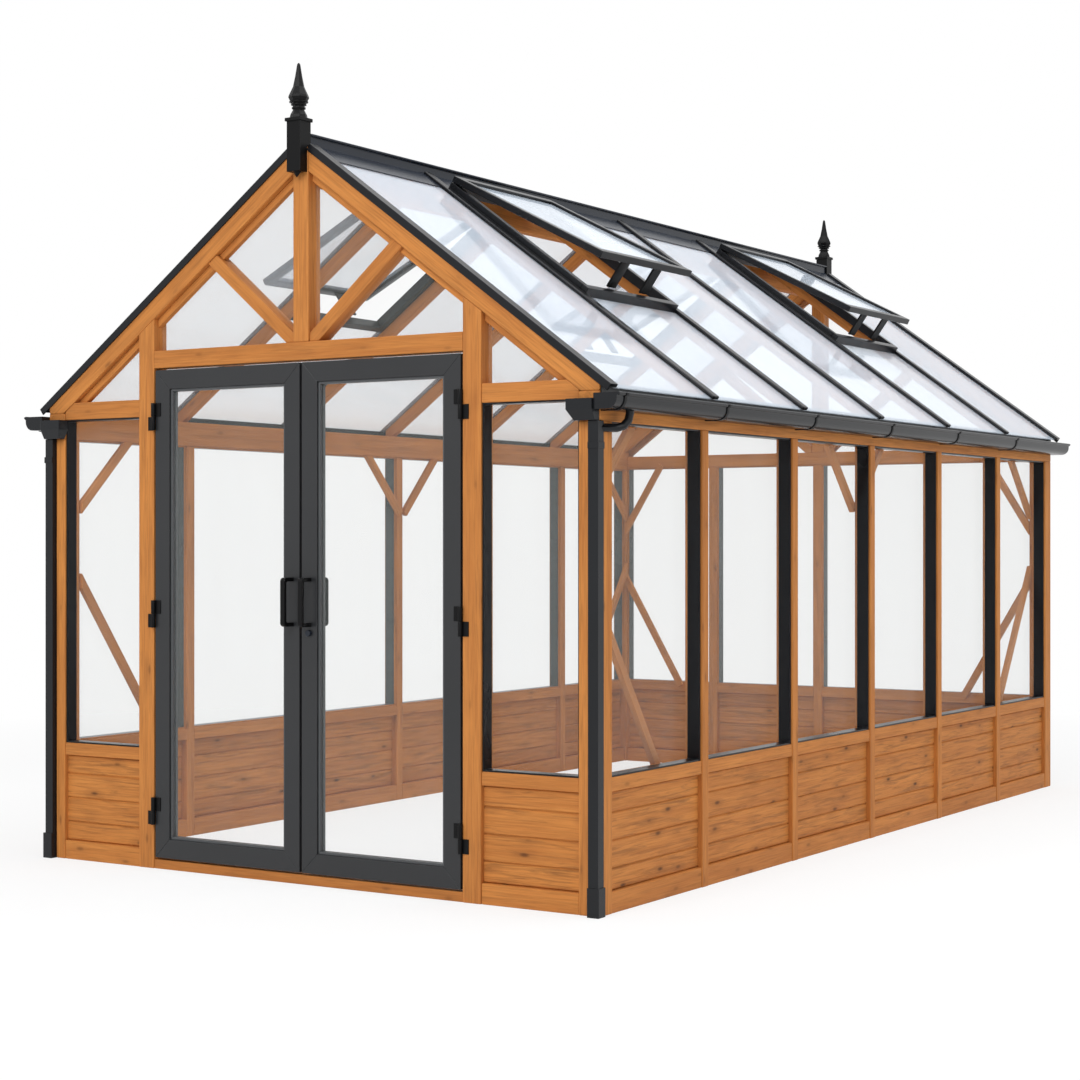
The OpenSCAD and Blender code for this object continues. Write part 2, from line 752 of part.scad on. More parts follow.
// Rainwater goods
module gutters() {
    y0 = y_front - gutter_front;
    y1 = y_back + gutter_back;
    color(dark) both_sides() translate([half_w, 0, gutter_low]) {
        slab_y(y0, y1) polygon(concat(gutter_whole(0), reversed(gutter_whole(gutter_t))));
        slab_y(y0, y0 + gutter_t) polygon(gutter_whole(0));
        slab_y(y1 - gutter_t, y1) polygon(gutter_whole(0));
    }
}
module gutter_brackets() {
    color(dark) both_sides() translate([half_w, 0, gutter_low]) for (i = [0:side_bays - 1]) {
        mid = y_front + (i == 0 ? bracket_w : i * bay);
        slab_y(mid - bracket_w / 2, mid + bracket_w / 2)
            polygon(concat(gutter_line(-bracket_t), reversed(gutter_line(0))));
    }
}
module head_block(inset) {
    right = half_w - 1;
    taper = head_w / 5;
    hull() {
        box([right - head_w + inset, y_front - head_d + inset, head_low + head_h / 2],
            [right - inset, y_front - fit - inset, head_low + head_h + (inset > 0 ? 1 : 0)]);
        box([right - head_w + taper + inset, y_front - head_d + taper + inset, head_low + inset],
            [right - inset, y_front - fit - inset, head_low + head_h / 2]);
    }
}
module rainwater_heads() {
    color(dark) both_sides() difference() {
        head_block(0);
        head_block(head_t);
    }
}
module swan_necks() {
    way = [neck_x, neck_y] - neck_foot;
    run = norm(way) - neck_bend;
    $fn = 12;
    color(dark) both_sides() difference() {
        translate([neck_foot[0], neck_foot[1], neck_z]) rotate([0, 0, atan2(way[1], way[0])]) {
            rotate([0, 90, 0]) cylinder(h = run, r = neck_r);
            translate([run, 0, neck_bend]) rotate([90, 0, 0]) rotate([0, 0, -90])
                rotate_extrude(angle = 90) translate([neck_bend, 0]) circle(neck_r);
            translate([run + neck_bend, 0, neck_bend])
                cylinder(h = gutter_low - neck_z - neck_bend - fit, r = neck_r);
        }
        box([0, pipe_y0 - pipe_w, 0], [half_w + pipe_out + fit, pipe_y0 + pipe_w, ridge_z]);
        box([0, pipe_y0, 0], [half_w + fit, y_back, ridge_z]);
    }
}
module downpipes() {
    x1 = half_w + pipe_out;
    y1 = pipe_y0 + pipe_w;
    color(dark) both_sides() {
        box([pipe_x0, pipe_y0, 0], [x1, y1, head_low - fit]);
        box([pipe_x0, pipe_y0 - shoe_out, 0], [x1 + shoe_out, y1, shoe_h]);
        box([pipe_x0, pipe_y0 - shoe_out / 2, clip_z], [x1 + shoe_out / 2, y1, clip_z + clip_h]);
    }
}

// Hinges: the pin and lower barrel stand on the post, the bored upper barrel turns with the leaf
module fixed_hinge(z) {
    barrel_h = (hinge_h - barrel_gap) / 2;
    translate([hinge_x, hinge_y, z - hinge_h / 2]) {
        cylinder(h = barrel_h, r = barrel_r);
        cylinder(h = hinge_h, r = pin_r);
        box([0, barrel_r - plate_t, 0], [plate_reach, barrel_r, barrel_h]);
    }
}
module moving_hinge(z) {
    barrel_h = (hinge_h - barrel_gap) / 2;
    translate([hinge_x, hinge_y, z + barrel_gap / 2]) difference() {
        union() {
            cylinder(h = barrel_h, r = barrel_r);
            box([-plate_reach, barrel_r - plate_t, 0], [0, barrel_r, barrel_h]);
        }
        translate([0, 0, -1]) cylinder(h = hinge_h, r = pin_r + pin_clear);
    }
}
module fixed_hinges() {
    color(dark) both_sides() for (z = hinge_zs) fixed_hinge(z);
}

// The right leaf; the left one is its mirror image
module leaf_stiles() {
    front_box([leaf_in, leaf_in + stile_w], 0, leaf_t, leaf_low, leaf_top);
    front_box([leaf_out - stile_w, leaf_out], 0, leaf_t, leaf_low, leaf_top);
}
module leaf_rails() {
    front_box(leaf_gap_in, 0, leaf_t, leaf_low, leaf_low + rail_w);
    front_box(leaf_gap_in, 0, leaf_t, leaf_top - rail_w, leaf_top);
}
module leaf_glass() {
    front_box(leaf_gap_in, (leaf_t - glass_t) / 2, (leaf_t + glass_t) / 2,
        leaf_low + rail_w + fit, leaf_top - rail_w - fit);
}

// A pull drawn with its reach along X and its length along Y, round at the outer corners
module pull_outline(reach, long, r) {
    square([reach - r, long]);
    translate([0, r]) square([reach, long - 2 * r]);
    for (y = [r, long - r]) translate([reach - r, y]) circle(r);
}
module pull() {
    slab_x(pull_x - pull_w / 2, pull_x + pull_w / 2) translate([0, pull_z - pull_l / 2]) difference() {
        pull_outline(pull_d, pull_l, pull_t);
        translate([0, pull_t]) pull_outline(pull_d - pull_t, pull_l - 2 * pull_t, pull_t / 2);
    }
}
module leaf_pulls() {
    translate([0, y_front, 0]) mirror([0, 1, 0]) pull();
    translate([0, y_front + leaf_t, 0]) pull();
}
module leaf_hinges() {
    for (z = hinge_zs) moving_hinge(z);
}
module right_door_stiles() {
    color(dark) leaf_stiles();
}
module right_door_rails() {
    color(dark) leaf_rails();
}
module right_door_glass() {
    color(clear) leaf_glass();
}
module right_door_pulls() {
    color(dark) leaf_pulls();
}
module right_door_hinges() {
    color(dark) leaf_hinges();
}
module right_door_lock() {
    color(dark) translate([pull_x, y_front, pull_z - pull_l / 2 - 2 * lock_r])
        rotate([90, 0, 0]) cylinder(h = lock_r, r = lock_r);
}
module left_door_stiles() {
    color(dark) mirror([1, 0, 0]) leaf_stiles();
}
module left_door_rails() {
    color(dark) mirror([1, 0, 0]) leaf_rails();
}
module left_door_glass() {
    color(clear) mirror([1, 0, 0]) leaf_glass();
}
module left_door_pulls() {
    color(dark) mirror([1, 0, 0]) leaf_pulls();
}
module left_door_hinges() {
    color(dark) mirror([1, 0, 0]) leaf_hinges();
}

corner_posts();
side_posts();
back_posts();
door_posts();
bottom_rails();
dado_rails();
wall_panels();
eaves_plates();
cross_beams();
gable_rafters();
king_posts();
gable_struts();
gable_beads();
ridge_beam();
rafters();
wall_braces();
wall_liners();
wall_glass();
gable_glass();
roof_glass();
roof_bars();
verge_caps();
ridge_comb();
ridge_flashings();
vent_side_curbs();
vent_cross_curbs();
vent_frames();
vent_glass();
vent_arms();
finials();
gutters();
gutter_brackets();
rainwater_heads();
swan_necks();
downpipes();
fixed_hinges();
left_door_stiles();
left_door_rails();
left_door_glass();
left_door_pulls();
left_door_hinges();
right_door_stiles();
right_door_rails();
right_door_glass();
right_door_pulls();
right_door_hinges();
right_door_lock();
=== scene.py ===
# %% [markdown]
# # A greenhouse of timber, glass and dark metal
# The solids of this greenhouse are already drawn to size. This lesson gives them the look of
# the real thing: stained softwood with its grain, powder coated metal, clear panes, grooved
# boards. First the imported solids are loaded, and they stay where they are as a fixed frame.

# %% Load the frame
import json
import math
import random
import bmesh
import bpy
from mathutils import Matrix, Vector


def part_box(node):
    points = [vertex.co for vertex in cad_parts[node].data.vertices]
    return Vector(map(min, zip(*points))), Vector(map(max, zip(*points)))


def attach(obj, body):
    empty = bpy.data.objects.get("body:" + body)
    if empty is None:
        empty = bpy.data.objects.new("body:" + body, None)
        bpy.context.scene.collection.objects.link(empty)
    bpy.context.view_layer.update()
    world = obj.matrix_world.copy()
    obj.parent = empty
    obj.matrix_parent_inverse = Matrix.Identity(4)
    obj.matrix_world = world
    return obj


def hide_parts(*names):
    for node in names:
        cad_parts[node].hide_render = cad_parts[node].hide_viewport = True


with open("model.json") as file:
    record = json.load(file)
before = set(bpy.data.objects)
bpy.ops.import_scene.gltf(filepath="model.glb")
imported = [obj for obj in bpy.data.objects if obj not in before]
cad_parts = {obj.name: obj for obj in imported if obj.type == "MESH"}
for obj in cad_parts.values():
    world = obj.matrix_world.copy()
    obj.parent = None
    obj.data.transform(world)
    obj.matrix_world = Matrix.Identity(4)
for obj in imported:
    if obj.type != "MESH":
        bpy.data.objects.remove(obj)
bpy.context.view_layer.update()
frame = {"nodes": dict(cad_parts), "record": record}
body_of_node = {}
for body_name, members in frame["record"]["behaviour"]["bodies"].items():
    for member in members:
        body_of_node[member] = body_name

# %% [markdown]
# ## The camera
# The picture was taken from about eye level, a third of the way round to the right, with a
# long lens. A camera that tilts makes upright lines lean. This one is held level, which keeps
# the posts parallel.


# %% Camera
def link(thing):
    bpy.context.scene.collection.objects.link(thing)


camera_data = bpy.data.cameras.new("long_lens")
camera_data.sensor_width = 36.0
camera_data.lens = 70.98
camera = bpy.data.objects.new("long_lens", camera_data)
camera.location = (4.7077, -8.0040, 1.2074)
camera.rotation_euler = (math.radians(90.0), 0.0, math.radians(32.42))
link(camera)
bpy.context.scene.camera = camera
bpy.context.scene.view_settings.view_transform = "Standard"
print("camera with a lens of", camera_data.lens, "mm")

# %% [markdown]
# ## Shader sums in Python
# A material is a graph of nodes, and a long graph is hard to read as node calls. Small classes
# help. Value wraps what comes out of a node, so that a sum such as 1 - knots * 0.5 is written as
# Python and becomes Math nodes. Graph adds nodes to any tree, and Finish is the graph of one
# material.


# %% Sums of values
class Value:
    """What comes out of a node, ready for sums."""

    def __init__(self, graph, socket):
        self.graph = graph
        self.socket = socket

    def math(self, operation, first, second):
        return self.graph.add("ShaderNodeMath", {"operation": operation}, {0: first, 1: second})

    def __add__(self, other):
        return self.math("ADD", self, other)

    def __radd__(self, other):
        return self.math("ADD", other, self)

    def __rsub__(self, other):
        return self.math("SUBTRACT", other, self)

    def __mul__(self, other):
        return self.math("MULTIPLY", self, other)

    def __rmul__(self, other):
        return self.math("MULTIPLY", other, self)

    def __pow__(self, other):
        return self.math("POWER", self, other)


print("sums ready")


# %% Graphs and finishes
class Graph:
    """The nodes of a material or a world, and the method that adds each of them."""

    def __init__(self, tree):
        self.tree = tree

    def add(self, kind, settings, sockets, out=0):
        made = self.tree.nodes.new(kind)
        for key, value in settings.items():
            if key == "stops":
                for stop, (place, level) in zip(made.color_ramp.elements, value):
                    stop.position = place
                    stop.color = (level, level, level, 1.0)
            else:
                setattr(made, key, value)
        for key, value in sockets.items():
            self.feed(made.inputs[key], value)
        return Value(self, made.outputs[out])

    def feed(self, socket, value):
        if isinstance(value, Value):
            self.tree.links.new(value.socket, socket)
        else:
            socket.default_value = value

    def mix(self, share, first, second):
        return self.add("ShaderNodeMix", {"data_type": "RGBA"}, {0: share, 6: first, 7: second}, 2)

    def ramp(self, value, low, high):
        stops = ((low, 0.0), (high, 1.0))
        return self.add("ShaderNodeValToRGB", {"stops": stops}, {0: value})

    def place(self):
        return self.add("ShaderNodeTexCoord", {}, {}, "Object")

    def stretched(self, place, stretch):
        return self.add("ShaderNodeVectorMath", {"operation": "MULTIPLY"}, {0: place, 1: stretch})

    def noise(self, place, stretch, detail=3.0, roughness=0.55, distortion=0.0):
        sockets = {
            "Vector": self.stretched(place, stretch),
            "Scale": 1.0,
            "Detail": detail,
            "Roughness": roughness,
            "Distortion": distortion,
        }
        return self.add("ShaderNodeTexNoise", {}, sockets)

    def viewing_rays(self):
        """One where the camera, a reflection or a clear body looks, and zero for other light."""
        seen = self.add("ShaderNodeLightPath", {}, {}, "Is Camera Ray")
        mirrored = self.add("ShaderNodeLightPath", {}, {}, "Is Glossy Ray")
        through = self.add("ShaderNodeLightPath", {}, {}, "Is Transmission Ray")
        return seen + mirrored + through

    def surface(self, share, first, second, output):
        blend = self.add("ShaderNodeMixShader", {}, {0: share, 1: first, 2: second})
        self.feed(self.tree.nodes[output].inputs["Surface"], blend)


class Finish(Graph):
    """The graph of one material, and its main shader."""

    def __init__(self, name):
        self.material = bpy.data.materials.new(name)
        self.material.use_nodes = True
        super().__init__(self.material.node_tree)
        self.shader = self.tree.nodes["Principled BSDF"]

    def set(self, sockets):
        for name, value in sockets.items():
            self.feed(self.shader.inputs[name], value)

    def bump(self, height, strength, distance):
        sockets = {"Height": height, "Strength": strength, "Distance": distance}
        self.set({"Normal": self.add("ShaderNodeBump", {}, sockets)})


print("graphs and finishes ready")

# %% [markdown]
# ## Colours
# A colour picked on a screen isn't what a shader takes. The screen's numbers are bent so that
# dark steps look even, and a shader reckons in plain amounts of light. The sRGB formula turns
# one into the other.


# %% Screen colours
def colour(red, green, blue):
    """A screen colour from 0 to 255, as the linear colour that a shader takes."""
    parts = []
    for part in (red, green, blue):
        share = part / 255.0
        if share <= 0.04045:
            parts.append(share / 12.92)
        else:
            parts.append(((share + 0.055) / 1.055) ** 2.4)
    return (parts[0], parts[1], parts[2], 1.0)


print("half grey on a screen is a light of", round(colour(128, 128, 128)[0], 3))

# %% [markdown]
# ## Stained softwood
# The frame is softwood under a honey stain. Grain runs along each stick, whatever way the
# stick lies, so the pattern can't follow the axes of the room. A UV map could turn it, but each
# would need unwrapping. Every stick carries three attributes instead: "grain", its own
# coordinates in metres with the first along the stick, "tone", one random number a stick,
# because no two take the stain alike, and "figure", the strength of the dark flames and knots,
# which wide boards show more than planed sticks.

# %% Timber patterns
timber = Finish("honey_timber")
grain = timber.add("ShaderNodeAttribute", {"attribute_name": "grain"}, {}, "Vector")
tone = timber.add("ShaderNodeAttribute", {"attribute_name": "tone"}, {}, "Fac")
figure = timber.add("ShaderNodeAttribute", {"attribute_name": "figure"}, {}, "Fac")
broad = timber.noise(grain, (1.6, 26.0, 26.0), 3.0, 0.6, 0.8)
flame = timber.noise(grain, (4.2, 62.0, 62.0), 4.0, 0.6, 0.9)
streaks = timber.noise(grain, (5.0, 170.0, 170.0), 4.0, 0.65, 0.3)
fibres = timber.noise(grain, (9.0, 620.0, 620.0), 3.0, 0.6)
knot_place = timber.stretched(grain, (5.5, 15.0, 15.0))
knot_far = timber.add("ShaderNodeTexVoronoi", {}, {"Vector": knot_place, "Scale": 1.0}, "Distance")
halo = (1.0 - timber.ramp(knot_far, 0.06, 0.36)) * figure
knots = (1.0 - timber.ramp(knot_far + streaks * 0.06, 0.07, 0.16)) * figure
print("timber patterns: broad bands, flames, streaks, fibres, knots with halos")

# %% Timber finish
stain = timber.mix(timber.ramp(broad, 0.3, 0.7), colour(212, 139, 69), colour(183, 113, 54))
stain = timber.mix(timber.ramp(flame, 0.5, 0.68) * figure * 0.7, stain, colour(118, 74, 40))
stain = timber.mix(timber.ramp(streaks, 0.46, 0.7) * 0.5, stain, colour(138, 84, 42))
stain = timber.mix(timber.ramp(fibres, 0.4, 0.75) * 0.3, stain, colour(226, 158, 88))
stain = timber.mix(halo * 0.4, stain, colour(128, 79, 42))
stain = timber.mix(knots * 0.85, stain, colour(64, 38, 22))
stain = timber.mix(tone * 0.3, stain, colour(166, 102, 50))
timber.set({"Base Color": stain, "Roughness": 0.48 + 0.2 * streaks, "Specular IOR Level": 0.2})
timber.bump(fibres * 0.4 + streaks * 0.6, 0.45, 0.0009)
print("timber nodes:", len(timber.tree.nodes))

# %% [markdown]
# ## Powder coat
# Doors, caps, gutters and pipes wear a dark powder coat: not bare metal, so Metallic stays at
# zero, but a satin skin with a very fine orange peel that breaks the reflections up. One grey
# for all would look like one casting. So one function makes the coat, and each trade's work
# gets its own palette of a dark, a light and a worn tone, its own gloss and its own shine.


# %% Dark metal finishes
def coat_finish(name, dark, light, worn, gloss, shine):
    coat = Finish(name)
    place = coat.place()
    cloud = coat.noise(place, (3.0, 3.0, 3.0), 3.0)
    peel = coat.noise(place, (420.0, 420.0, 420.0), 2.0)
    scuff = coat.noise(place, (60.0, 60.0, 9.0), 4.0, 0.65)
    paint = coat.mix(cloud, dark, light)
    paint = coat.mix(coat.ramp(scuff, 0.62, 0.9) * 0.12, paint, worn)
    coat.set({"Base Color": paint, "Roughness": gloss + 0.1 * cloud, "Specular IOR Level": shine})
    coat.bump(peel, 0.03, 0.0002)
    return coat


anthracite = colour(34, 35, 37), colour(43, 44, 46), colour(60, 62, 65)
charcoal = colour(22, 23, 26), colour(30, 32, 35), colour(48, 52, 60)
slate = colour(26, 32, 42), colour(35, 42, 54), colour(54, 63, 77)
soot = colour(15, 16, 19), colour(22, 24, 28), colour(40, 44, 52)
black = colour(11, 11, 12), colour(15, 15, 16), colour(26, 26, 28)
# The glazing beads' light grey is painted highlight: it stands for the light lines along the glass
# edges of the door frames, whose beads are really as dark as the frames.
bead_highlight_grey = colour(70, 72, 74), colour(84, 86, 88), colour(98, 100, 102)
door_coat = coat_finish("door_coat", *anthracite, 0.3, 0.4)
rain_coat = coat_finish("rainwater_coat", *charcoal, 0.2, 0.24)
roof_coat = coat_finish("roof_coat", *soot, 0.24, 0.24)
sheet_coat = coat_finish("sheet_coat", *slate, 0.2, 0.3)
black_coat = coat_finish("black_fittings", *black, 0.34, 0.14)
bead_coat = coat_finish("glazing_bead", *bead_highlight_grey, 0.35, 0.4)
print("dark metal finishes: doors, rainwater, roof, sheet, fittings and beads")

# %% [markdown]
# ## Panes
# A clear pane shows what is behind it, a little of the sky in front of it, and more of the sky
# the flatter you look along it. A glass shader would bend the view, which thin flat panes don't
# do, so Alpha lets the back through. Layer Weight raises it towards grazing angles, as real
# glass reflects more there, so the pane's own pale colour shows more there: a painted sky
# sheen, blue-white on the roof. A trace of old rain changes the roughness and the haze.


# %% Glass finishes
def pane_finish(name, tint_and_painted_sheen, clear, grazing):
    pane = Finish(name)
    rain = pane.noise(pane.place(), (7.0, 7.0, 1.6), 1.0, 0.6)
    facing = pane.add("ShaderNodeLayerWeight", {}, {"Blend": 0.5}, "Facing")
    # The base colour is the glass tint and, where Alpha rises towards grazing angles, a painted sky
    # sheen.
    sockets = {
        "Base Color": pane.mix(rain * 0.3, tint_and_painted_sheen, colour(240, 244, 248)),
        "Roughness": 0.02 + 0.06 * rain,
        "Alpha": clear + 0.02 * rain + grazing * facing ** 3.0,
    }
    pane.set(sockets)
    pane.bump(rain, 0.02, 0.001)
    return pane


wall_pane = pane_finish("wall_pane", colour(186, 195, 191), 0.05, 0.08)
# The roof pane's blue-white colour is painted sky sheen, which shows most towards grazing angles.
roof_pane = pane_finish("roof_pane", colour(226, 239, 254), 0.09, 0.74)
glazing = {
    "wall_glass": wall_pane,
    "gable_glass": wall_pane,
    "left_door_glass": wall_pane,
    "right_door_glass": wall_pane,
    "roof_glass": roof_pane,
    "vent_glass": roof_pane,
}
for node, pane in glazing.items():
    for material_slot in frame["nodes"][node].material_slots:
        material_slot.material = pane.material
print("panes dressed:", len(glazing))

# %% [markdown]
# ## Copies of the solids
# A solid comes in as loose triangles with knife sharp edges. Real sticks and pressings have
# edges that are eased by a few millimetres, and those thin rounds catch the light. So a node is
# copied, its triangles are merged, flat faces are joined, and the sharp edges are bevelled, one
# solid at a time, because a bevel that meets one short edge shrinks for all that it is given.

# %% Parts of a mesh
weld = 0.00001
flat = math.radians(0.5)


def copy_of(node):
    solid = bmesh.new()
    solid.from_mesh(frame["nodes"][node].data)
    bmesh.ops.remove_doubles(solid, verts=solid.verts, dist=weld)
    bmesh.ops.dissolve_limit(solid, angle_limit=flat, verts=solid.verts, edges=solid.edges)
    return solid


def separate_solids(mesh):
    """The verts of each solid that touches no other."""
    waiting = set(mesh.verts)
    found = []
    for first in list(mesh.verts):
        if first not in waiting:
            continue
        waiting.discard(first)
        reached = [first]
        for vert in reached:
            for edge in vert.link_edges:
                other = edge.other_vert(vert)
                if other in waiting:
                    waiting.discard(other)
                    reached.append(other)
        found.append(reached)
    return found


def edges_of(verts):
    return list(dict.fromkeys(edge for vert in verts for edge in vert.link_edges))


def faces_of(verts):
    return list(dict.fromkeys(face for vert in verts for face in vert.link_faces))


def box_of(verts):
    low = Vector([min(v.co[i] for v in verts) for i in range(3)])
    high = Vector([max(v.co[i] for v in verts) for i in range(3)])
    return low, high


print("mesh parts ready")

# %% Shapes, edges and pieces
sharp = math.radians(35.0)
chamfered = 1
rounded = 2


def add_box(mesh, centre, size):
    shape = Matrix.Translation(centre) @ Matrix.Diagonal((*size, 1.0))
    return bmesh.ops.create_cube(mesh, size=1.0, matrix=shape)["verts"]


def add_rod(mesh, segments, radius, length, place):
    bmesh.ops.create_cone(
        mesh,
        cap_ends=True,
        segments=segments,
        radius1=radius,
        radius2=radius,
        depth=length,
        matrix=place,
    )


def bevel(mesh, edges, width, segments):
    bmesh.ops.bevel(
        mesh,
        geom=edges,
        offset=width,
        offset_type="OFFSET",
        affect="EDGES",
        segments=segments,
        profile=0.5,
        material=-1,
        clamp_overlap=True,
    )


def ease_edges(mesh, width):
    for verts in separate_solids(mesh):
        edges = [e for e in edges_of(verts) if e.is_manifold and e.calc_face_angle() > sharp]
        if edges:
            bevel(mesh, edges, width, rounded)


def add_piece(name, mesh, body, finish, smooth=None):
    data = bpy.data.meshes.new(name)
    mesh.normal_update()
    mesh.to_mesh(data)
    mesh.free()
    data.materials.append(finish.material)
    if smooth:
        data.shade_smooth()
        data.set_sharp_from_angle(angle=math.radians(smooth))
    piece = bpy.data.objects.new(name, data)
    link(piece)
    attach(piece, body)
    return piece


print("edges are eased where faces meet at more than", round(math.degrees(sharp)), "degrees")

# %% [markdown]
# ## Grain along every stick
# The longest edge of a stick gives its direction. The stick's own coordinates are written to
# its vertices with a random start, so that two posts never show the same knot. A fixed seed
# gives the same knots at every run.

# %% Grain attributes
chance = random.Random(7)
spread = 50
upright = 0.9
stick_figure = 0.5
board_figure = 1.0


def lay_grain(mesh, figure):
    grain_layer = mesh.verts.layers.float_vector.new("grain")
    tone_layer = mesh.verts.layers.float.new("tone")
    figure_layer = mesh.verts.layers.float.new("figure")
    solids = separate_solids(mesh)
    for verts in solids:
        longest = max(edges_of(verts), key=lambda e: round(e.calc_length(), 5))
        along = (longest.verts[1].co - longest.verts[0].co).normalized()
        helper = Vector((0.0, 0.0, 1.0))
        if abs(along.z) > upright:
            helper = Vector((1.0, 0.0, 0.0))
        across = along.cross(helper).normalized()
        turn = Matrix((along, across, along.cross(across)))
        start = Vector([chance.uniform(0, spread) for _ in range(3)])
        shade = chance.random()
        for vert in verts:
            vert[grain_layer] = turn @ vert.co + start
            vert[tone_layer] = shade
            vert[figure_layer] = figure
    return len(solids)


print("grain starts anywhere within", spread, "metres")

# %% Timber pieces
stick_ease = {
    "corner_posts": 0.004,
    "side_posts": 0.003,
    "back_posts": 0.003,
    "door_posts": 0.003,
    "bottom_rails": 0.003,
    "dado_rails": 0.003,
    "eaves_plates": 0.003,
    "cross_beams": 0.003,
    "gable_rafters": 0.004,
    "king_posts": 0.004,
    "gable_struts": 0.003,
    "gable_beads": 0.003,
    "ridge_beam": 0.003,
    "rafters": 0.003,
    "wall_braces": 0.002,
}
for node, width in stick_ease.items():
    sticks = copy_of(node)
    ease_edges(sticks, width)
    count = lay_grain(sticks, stick_figure)
    piece = add_piece(node + "_timber", sticks, body_of_node[node], timber)
    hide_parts(node)
    print(node, "sticks:", count)

# %% [markdown]
# ## Grooved boards
# Under the glass each bay is closed with four boards laid flat, one above the other. Their long
# edges are chamfered, so two boards make a V groove. Grooves cut into one panel would leave the
# grain running through them, so each board is its own box. The panels of the solids give the
# places: the middle groove is at half height, and the pitch of the boards sets the others.

# %% Wall boards
board_pitch = 0.091
board_joint = 0.0004
groove = 0.005
near_enough = 0.0001
panels = copy_of("wall_panels")
boards = bmesh.new()
for verts in separate_solids(panels):
    low, high = box_of(verts)
    middle = (low.z + high.z) / 2
    cuts = [low.z, middle - board_pitch, middle, middle + board_pitch, high.z]
    for under, over in zip(cuts, cuts[1:]):
        size = Vector((high.x - low.x, high.y - low.y, over - under - board_joint))
        centre = Vector(((low.x + high.x) / 2, (low.y + high.y) / 2, (under + over) / 2))
        board = add_box(boards, centre, size)
        longest = max(size.x, size.y)
        edges = [e for e in edges_of(board) if abs(e.calc_length() - longest) < near_enough]
        bevel(boards, edges, groove, chamfered)
panels.free()
count = lay_grain(boards, board_figure)
wall_boards = add_piece("wall_boards", boards, "house", timber)
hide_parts("wall_panels")
print("boards:", count)

# %% [markdown]
# ## Metalwork
# Caps, bars, gutters, pipes and hinges keep their solids' shapes, with eased edges. Rolled
# pieces such as the gutter are shaded smooth up to an angle instead, so that their facets
# disappear and their folds stay sharp. Each line gives the easing, that angle, and the coat.

# %% Dark metal pieces
rolled = 40.0
metal_ease = {
    "roof_bars": (0.004, None, roof_coat),
    "verge_caps": (0.0015, None, roof_coat),
    "ridge_comb": (0.004, None, sheet_coat),
    "ridge_flashings": (0.001, None, sheet_coat),
    "vent_side_curbs": (0.002, None, roof_coat),
    "vent_cross_curbs": (0.002, None, roof_coat),
    "vent_frames": (0.003, None, roof_coat),
    "vent_arms": (0.0015, None, black_coat),
    "finials": (0.001, None, black_coat),
    "gutters": (0.0, rolled, rain_coat),
    "gutter_brackets": (0.0, rolled, black_coat),
    "rainwater_heads": (0.002, None, rain_coat),
    "swan_necks": (0.0, rolled, rain_coat),
    "downpipes": (0.003, None, rain_coat),
    "fixed_hinges": (0.0008, None, black_coat),
    "left_door_pulls": (0.003, None, black_coat),
    "left_door_hinges": (0.0008, None, black_coat),
    "right_door_pulls": (0.003, None, black_coat),
    "right_door_hinges": (0.0008, None, black_coat),
    "right_door_lock": (0.001, None, sheet_coat),
}
for node, (width, smooth, coat) in metal_ease.items():
    metal = copy_of(node)
    if width:
        ease_edges(metal, width)
    piece = add_piece(node + "_metal", metal, body_of_node[node], coat, smooth)
    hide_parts(node)
    print(node, "triangles about", sum(len(p.vertices) - 2 for p in piece.data.polygons))

# %% [markdown]
# ## Window liners and inner beads
# Each window opening is lined by one ring, and the pane stands in the ring's depth. Outside the
# pane the ring is dark metal. Inside it is a timber bead, so the room shows wood all round. The
# ring of the solids is cut at the pane with bisect_plane, and the cut's two loops are bridged.

# %% Liners and beads
ring_ease = 0.001
glass = copy_of("wall_glass")
pane_middles = []
for verts in separate_solids(glass):
    low, high = box_of(verts)
    pane_middles.append((low + high) / 2)
glass.free()


def half_rings(room_side):
    rings = copy_of("wall_liners")
    for verts in separate_solids(rings):
        low, high = box_of(verts)
        middle = (low + high) / 2
        pane = min(pane_middles, key=lambda place: (place - middle).length)
        if high.x - low.x < high.y - low.y:
            outwards = Vector((math.copysign(1.0, middle.x), 0.0, 0.0))
        else:
            outwards = Vector((0.0, math.copysign(1.0, middle.y), 0.0))
        cut = bmesh.ops.bisect_plane(
            rings,
            geom=verts + edges_of(verts) + faces_of(verts),
            plane_co=pane,
            plane_no=outwards,
            clear_outer=room_side,
            clear_inner=not room_side,
        )
        rim = [part for part in cut["geom_cut"] if isinstance(part, bmesh.types.BMEdge)]
        bmesh.ops.bridge_loops(rings, edges=rim)
    bmesh.ops.recalc_face_normals(rings, faces=rings.faces)
    ease_edges(rings, ring_ease)
    return rings


liners = add_piece("wall_liners_metal", half_rings(False), "house", roof_coat)
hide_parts("wall_liners")
inner_beads = half_rings(True)
count = lay_grain(inner_beads, stick_figure)
add_piece("inner_beads_timber", inner_beads, "house", timber)
print("window beads:", count)

# %% [markdown]
# ## Eaves strips
# Between the gutter and the roof glass a folded strip hides the plate and the rafter ends. The
# gutter's outer edge is rolled into a bead, which stiffens the sheet and catches the light. Both
# are straight runs, so a thin box and a rod along each side do, placed from the solids' boxes.

